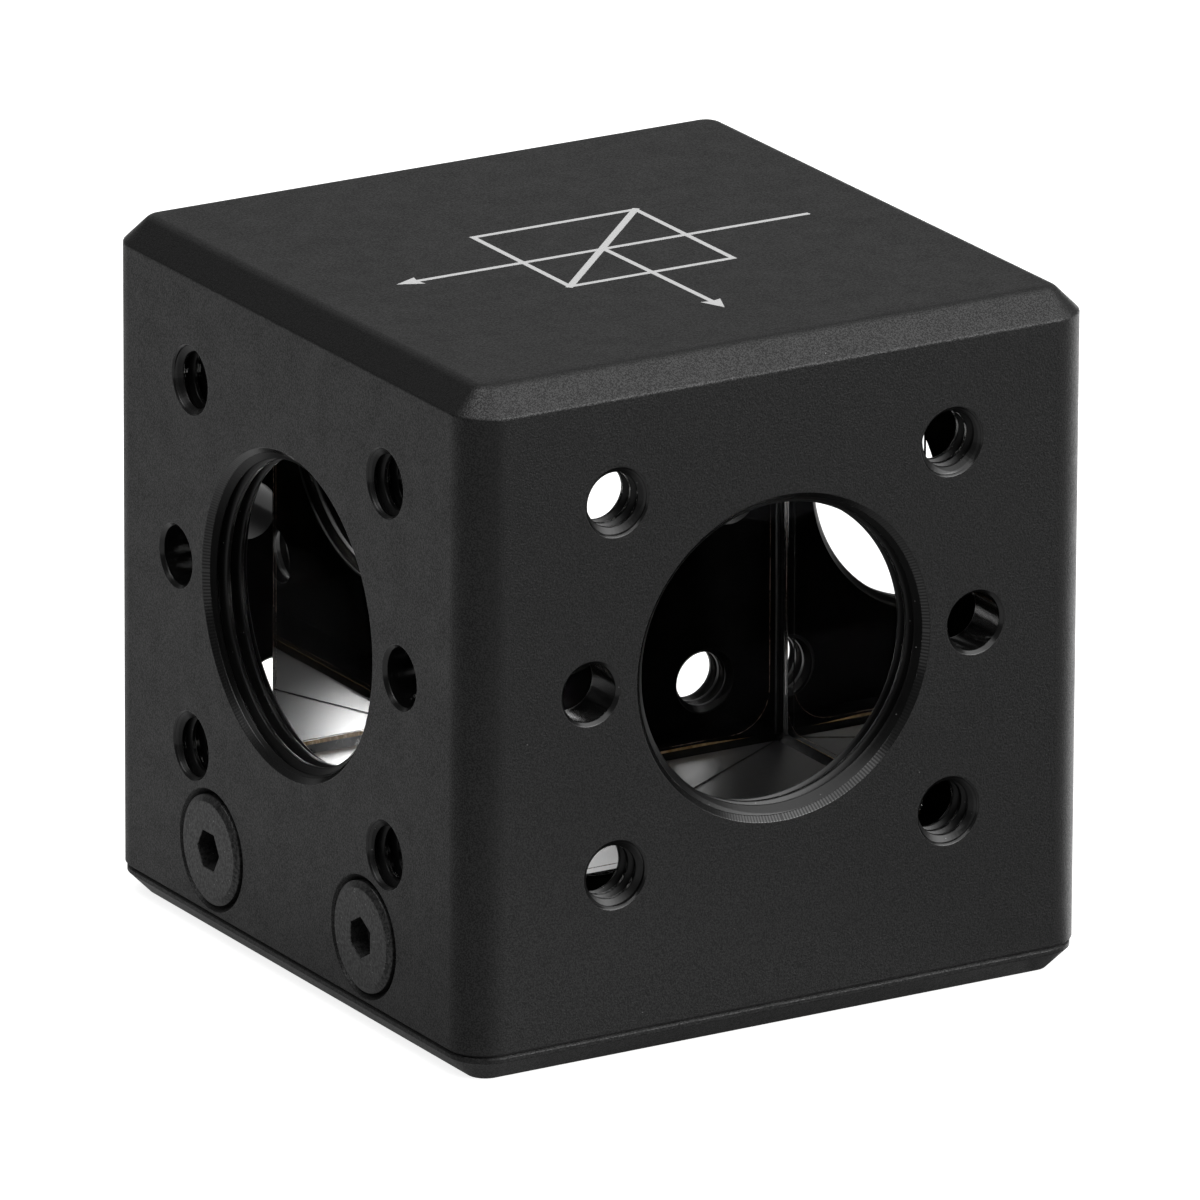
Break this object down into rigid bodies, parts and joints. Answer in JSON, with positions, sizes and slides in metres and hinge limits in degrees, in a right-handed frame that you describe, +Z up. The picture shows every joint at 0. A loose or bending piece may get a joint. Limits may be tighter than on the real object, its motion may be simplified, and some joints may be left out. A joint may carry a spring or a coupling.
{
  "type": "optical cage cube",
  "caption": "Black anodised cage cube with threaded ports and rod holes in its sides, a base plate held by side screws, and a cemented glass beamsplitter inside.",
  "frame": {"origin": "centre of the base plate's underside, on the vertical axis through the crossing of the light paths", "axes": "+Z up; the light paths run along X and along Y, 16.19 mm above the underside; -Y is the large face in the picture; the side screws are in the -X and +X walls"},
  "size_m": [0.0302, 0.0298, 0.0297],
  "materials": {
    "black_anodised": "fine bead-blasted black anodising, satin to matte",
    "black_oxide_steel": "black oxide on steel, satin",
    "prism_glass": "polished optical glass with a thin coating, ground above and below",
    "cement": "thin coated cement layer",
    "adhesive": "cured amber adhesive, glossy",
    "engraving": "pale laser-engraved lines"
  },
  "bodies": {
    "root": {"housing": "black_anodised", "base_plate": "black_anodised", "front_prism": "prism_glass", "rear_prism": "prism_glass", "cement_layer": "cement", "glue_pad": "adhesive", "side_screw_left_front": "black_oxide_steel", "side_screw_left_rear": "black_oxide_steel", "side_screw_right_front": "black_oxide_steel", "side_screw_right_rear": "black_oxide_steel"}
  },
  "joints": []
}
